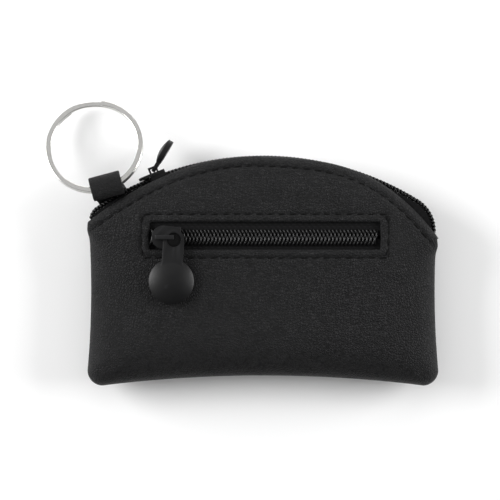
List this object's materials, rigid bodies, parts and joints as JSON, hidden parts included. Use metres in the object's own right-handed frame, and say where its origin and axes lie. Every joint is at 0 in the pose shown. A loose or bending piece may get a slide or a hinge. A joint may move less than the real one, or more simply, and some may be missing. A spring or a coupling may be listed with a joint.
{
  "type": "coin purse",
  "caption": "Small soft leather coin and key purse with an arched zipped top, a zip pocket on the front, and a split ring on a leather tab.",
  "frame": {"origin": "middle of the flat of the back panel, on the surface the purse lies on", "axes": "+X along the pocket zip towards its open end, +Y towards the arched top, +Z out of the front panel"},
  "size_m": [0.1281, 0.0931, 0.0208],
  "materials": {
    "black_leather": "matte fine-grain leather",
    "lining_cloth": "plain woven lining",
    "zip_tape": "herringbone woven tape",
    "nylon_coil": "semi-gloss nylon",
    "thread": "twisted polyester thread",
    "coated_metal": "matte black coating on zinc",
    "nickel_steel": "polished nickel plate"
  },
  "bodies": {
    "purse": {"front_panel": "black_leather", "back_panel": "black_leather", "ring_tab": "black_leather", "front_lining": "lining_cloth", "back_lining": "lining_cloth", "pocket_bag_front": "lining_cloth", "pocket_bag_back": "lining_cloth", "pocket_tape_upper": "zip_tape", "pocket_tape_lower": "zip_tape", "main_tape_front": "zip_tape", "main_tape_back": "zip_tape", "pocket_coil_upper": "nylon_coil", "pocket_coil_lower": "nylon_coil", "main_coil_front": "nylon_coil", "main_coil_back": "nylon_coil", "front_edge_stitching": "thread", "back_edge_stitching": "thread", "window_stitching": "thread", "seam_stitching": "thread", "tab_stitching": "thread"},
    "main_slider": {"main_slider": "coated_metal"},
    "main_pull": {"main_pull": "coated_metal"},
    "pocket_slider": {"pocket_slider": "coated_metal"},
    "pocket_pull": {"pocket_pull": "coated_metal"},
    "split_ring": {"split_ring": "nickel_steel"}
  },
  "joints": [
    {"name": "main_slider_travel", "type": "hinge", "parent": "purse", "child": "main_slider", "pos_m": [0, -0.059, 0.0085], "axis": [0, 0, 1], "range_deg": [-48, 0]},
    {"name": "main_pull_lift", "type": "hinge", "parent": "main_slider", "child": "main_pull", "pos_m": [-0.03568, 0.03303, 0.0085], "axis": [0, 0, 1], "range_deg": [-25, 35]},
    {"name": "pocket_slider_travel", "type": "slide", "parent": "purse", "child": "pocket_slider", "axis": [1, 0, 0], "range_m": [0, 0.063]},
    {"name": "pocket_pull_swivel", "type": "hinge", "parent": "pocket_slider", "child": "pocket_pull", "pos_m": [-0.0288, 0.0105, 0.01885], "axis": [0, 0, 1], "range_deg": [-45, 215]},
    {"name": "ring_swing", "type": "hinge", "parent": "purse", "child": "split_ring", "pos_m": [-0.05055, 0.02725, 0.01435], "axis": [0.9659, 0.2588, 0], "range_deg": [0, 150]}
  ]
}
